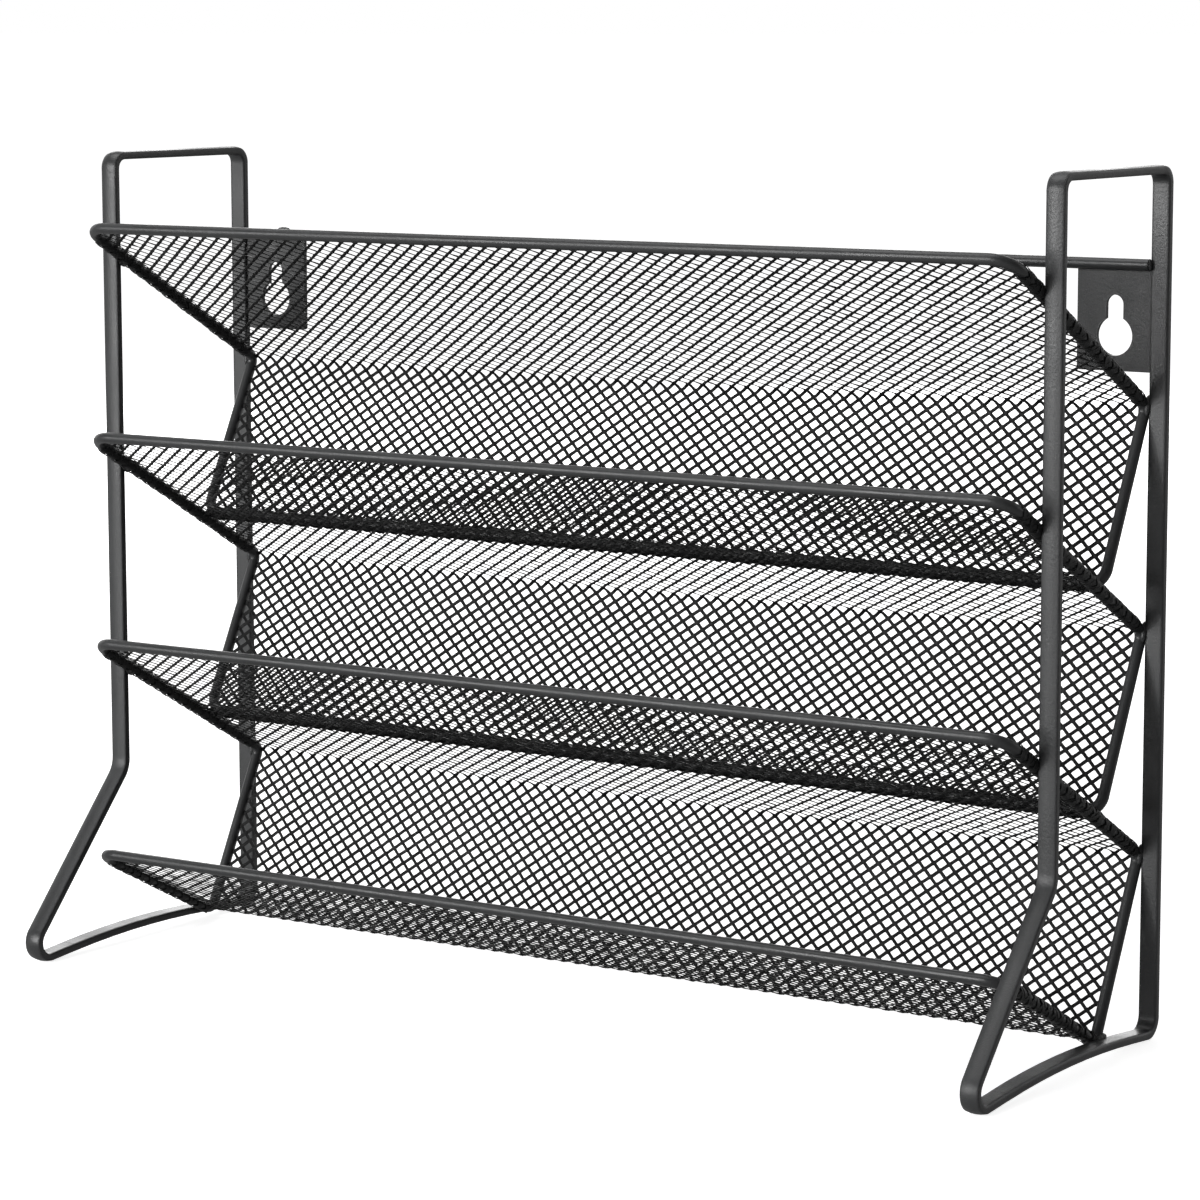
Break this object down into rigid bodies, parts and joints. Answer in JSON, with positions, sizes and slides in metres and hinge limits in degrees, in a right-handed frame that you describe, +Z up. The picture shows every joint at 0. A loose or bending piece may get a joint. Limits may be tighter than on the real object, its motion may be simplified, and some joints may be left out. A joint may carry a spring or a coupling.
{
  "type": "magazine file holder",
  "caption": "Tiered wire-mesh rack: shallow sloping trays of expanded metal in wire rims between two flat-bar side frames, with keyhole plates for hanging on a wall.",
  "frame": {"origin": "on the desk, under the centre of the rack's bounding box", "axes": "+X across the rack to the right as seen from the front, +Y towards the wall, +Z up"},
  "size_m": [0.3294, 0.1076, 0.2456],
  "materials": {
    "frame_bar": "satin dark grey powder coat",
    "rim_wire": "satin dark grey powder coat",
    "expanded_mesh": "satin black powder coat",
    "plate": "satin dark grey powder coat"
  },
  "bodies": {
    "root": {"left_side_frame": "frame_bar", "right_side_frame": "frame_bar", "rear_crossbar": "rim_wire", "left_keyhole_plate": "plate", "right_keyhole_plate": "plate", "tier_1_rim_wire": "rim_wire", "tier_2_rim_wire": "rim_wire", "tier_3_4_rim_wire": "rim_wire", "tier_1_mesh": "expanded_mesh", "tier_2_mesh": "expanded_mesh", "tier_3_4_mesh": "expanded_mesh"}
  },
  "joints": []
}
